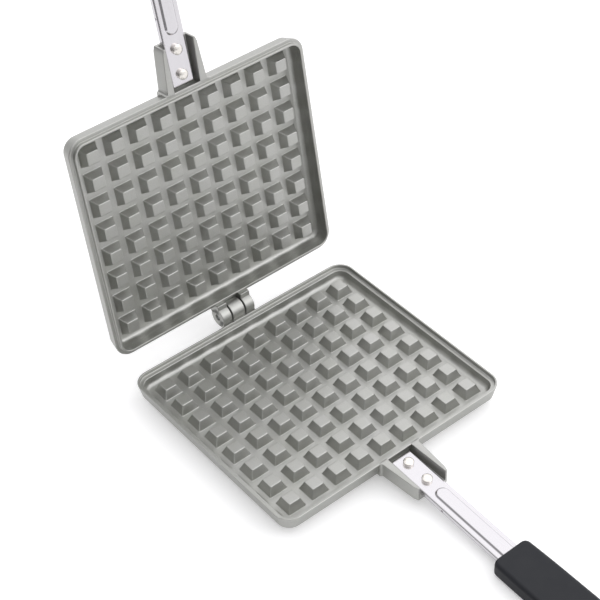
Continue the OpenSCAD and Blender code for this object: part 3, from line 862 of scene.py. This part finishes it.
def plastic_grip(side, finish):
    """Moulded grip with a mouth for the bar, sunk screw holes and a cross hole near its end."""
    # The sections lie close together at the rounded neck, the toe and the rounded end
    neck = quarter_turn(6)
    stations = [GRIP_FRONT - NECK_RADIUS * (1 - math.cos(a)) for a in neck]
    stations += [GRIP_FRONT - NECK_EDGE * (1 - math.cos(a)) for a in neck]
    stations += [GRIP_FRONT - NECK_RADIUS - 3 * step for step in range(1, 10)]
    stations += [GRIP_Y - 35 - 6 * step for step in range(12)]
    stations += [PIVOT_Y + 7.7 - 0.45 * step for step in range(7)]
    stations += [PIVOT_Y + 4 - step for step in range(4)]
    stations += [GRIP_END + END_RADIUS * (1 - math.sin(a)) for a in quarter_turn(12)[2:12]]
    stations += [GRIP_END + 0.03, GRIP_END]
    grip = loft("grip", [grip_section(y) for y in sorted(set(stations), reverse=True)])
    slack = 0.12
    wide = BAR_WIDTH / 2 + slack
    shoulder = wide - 0.9
    rib = RIB_WIDTH / 2 + slack
    rib_top = rib - 0.7
    low = -BAR_DEPTH - slack
    high = RIB_HEIGHT + slack
    mouth = [(-wide, low), (-wide, -BEND_RADIUS), (-shoulder, slack), (-rib, slack), (-rib_top, high),
             (rib_top, high), (rib, slack), (shoulder, slack), (wide, -BEND_RADIUS), (wide, low)]
    mouth_range = (3 - BAR_REACH, -BAR_REACH - MOUTH_DEPTH)
    cutters = [moved(loft("socket", [[(x, y, z) for x, z in mouth] for y in mouth_range]), on_bar)]
    shank = SCREW_DIAMETER / 2 + 0.15
    head = SCREW_HEAD / 2 + 0.1
    sink = ((shank, 5.5), (shank, SCREW_SINK), (head, 0), (head, -1))
    for distance in SCREW_PLACES:
        hole = loft("sink", [circle(radius, GRIP_BOTTOM + z, 40) for radius, z in sink])
        cutters.append(moved(hole, Matrix.Translation((0, GRIP_Y - distance, 0))))
    cross = loft("cross", [circle(SLEEVE_DIAMETER / 2, z, 40) for z in (GRIP_WIDTH, -GRIP_WIDTH)])
    cutters.append(moved(cross, Matrix.Translation((0, PIVOT_Y, PIVOT_Z)) @ lying_across))
    cut(grip, *cutters)
    grip.name = side + "_plastic_grip"
    finish_piece(grip, finish, side, [side + "_grip"], HALVES[side], crease=50)


def wire_bail(finish):
    """Wire bail with bent corners, its ends inside the sleeve."""
    turn = quarter_turn(8)
    inner_end = SLEEVE_LENGTH / 2 - BAIL_INSERT
    bend_x = BAIL_HALF - BAIL_BEND
    path = [((inner_end, 0), (1, 0))]
    path += [((bend_x + BAIL_BEND * math.sin(a), BAIL_BEND * (1 - math.cos(a))),
              (math.cos(a), math.sin(a))) for a in turn]
    path += [((bend_x + BAIL_BEND * math.cos(a), BAIL_REACH - BAIL_BEND * (1 - math.sin(a))),
              (-math.sin(a), math.cos(a))) for a in turn]
    path += [((-x, y), (tx, -ty)) for (x, y), (tx, ty) in reversed(path)]
    rings = []
    for (x, y), (tx, ty) in path:
        ring = [(x + ty * across_wire, y - tx * across_wire, z)
                for across_wire, z, _ in circle(WIRE_DIAMETER / 2, 0, 20)]
        rings.append(list(reversed(ring)))
    bail = loft("wire_bail", rings)
    place = opened @ Matrix.Translation((0, PIVOT_Y, PIVOT_Z)) @ Matrix.Rotation(-BAIL_REST, 4, "X")
    finish_piece(bail, finish, "bail", ["closing_bail"], place, crease=60)


def dress_cad_nodes(finish):
    """The hinge pin, nuts, screws and sleeve stay as they are and get their plating."""
    names = ["hinge_pin", "bail_sleeve"]
    names += [f"{side}_{end}_{kind}" for side in HALVES for end in ("front", "rear")
              for kind in ("nut", "screw")]
    for name in names:
        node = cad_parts[name]
        for holder in node.material_slots:
            holder.material = finish


# Studio

def floor_material():
    """Plain white sweep. What the camera and the metal see of it is lifted, and it keeps its shadows."""
    material, tree = new_material("white_sweep")
    rays = add_node(tree, "ShaderNodeLightPath")
    mirrored = add_node(tree, "ShaderNodeMath", {"operation": "MULTIPLY"},
                        _0=rays.outputs["Is Glossy Ray"], _1=FLOOR_MIRRORED)
    lift = add_node(tree, "ShaderNodeMath", {"operation": "MULTIPLY_ADD"},
                    _0=rays.outputs["Is Camera Ray"], _1=FLOOR_LIFT, _2=mirrored.outputs[0])
    matt = add_node(tree, "ShaderNodeBsdfDiffuse", Color=linear("#ececec"))
    glow = add_node(tree, "ShaderNodeEmission", Color=(1.0, 1.0, 1.0, 1.0), Strength=lift.outputs[0])
    both = add_node(tree, "ShaderNodeAddShader", _0=matt.outputs[0], _1=glow.outputs[0])
    show(tree, both)
    return material


def make_studio():
    """White sweep under a large soft light from the right and above, with a softbox in front."""
    near_x, near_y, far = TABLE_EDGES
    corners = ((near_x, near_y), (far, near_y), (far, far), (near_x, far))
    floor = new_object("floor", [(x, y, -TABLE_DROP) for x, y in corners], [(0, 1, 2, 3)])
    floor.data.materials.append(floor_material())
    world = bpy.data.worlds.new("studio")
    world.use_nodes = True
    scene.world = world
    tree = world.node_tree
    tree.nodes.clear()
    direction = add_node(tree, "ShaderNodeTexCoord").outputs["Generated"]
    toward = add_node(tree, "ShaderNodeVectorMath", {"operation": "DOT_PRODUCT"},
                      _0=direction, _1=LIGHT_FROM)
    level = add_node(tree, "ShaderNodeMapRange", {"interpolation_type": "SMOOTHSTEP"},
                     Value=toward.outputs["Value"], From_Min=LIGHT_EDGE, From_Max=LIGHT_CORE,
                     To_Min=ROOM_LEVEL, To_Max=LIGHT_LEVEL)
    beside = add_node(tree, "ShaderNodeVectorMath", {"operation": "DOT_PRODUCT"},
                      _0=direction, _1=SOFTBOX_FROM)
    softbox = add_node(tree, "ShaderNodeMapRange", {"interpolation_type": "SMOOTHSTEP"},
                       Value=beside.outputs["Value"], From_Min=SOFTBOX_EDGE, From_Max=SOFTBOX_CORE,
                       To_Min=0.0, To_Max=SOFTBOX_LEVEL)
    light = add_node(tree, "ShaderNodeMath", {"operation": "ADD"}, _0=level.outputs["Result"],
                     _1=softbox.outputs["Result"])
    rays = add_node(tree, "ShaderNodeLightPath")
    # Past the table's edges the camera sees plain white
    seen = add_node(tree, "ShaderNodeMix", {"data_type": "FLOAT"}, Factor=rays.outputs["Is Camera Ray"],
                    _2=light.outputs[0], _3=1.0)
    sky = add_node(tree, "ShaderNodeBackground", Color=(0.99, 0.985, 1.0, 1.0), Strength=seen.outputs[0])
    add_node(tree, "ShaderNodeOutputWorld", Surface=sky.outputs[0])


make_camera()
coated = coated_cast_aluminium()
sheet_steel = polished_sheet_steel()
rivet_steel = headed_rivet_steel()
plated = zinc_plated_steel()
phenolic = moulded_phenolic()
for half_name in HALVES:
    waffle_plate(half_name, coated)
    handle_bar(half_name, sheet_steel)
    rivet_pair(half_name, rivet_steel)
    plastic_grip(half_name, phenolic)
wire_bail(plated)
dress_cad_nodes(plated)
make_studio()
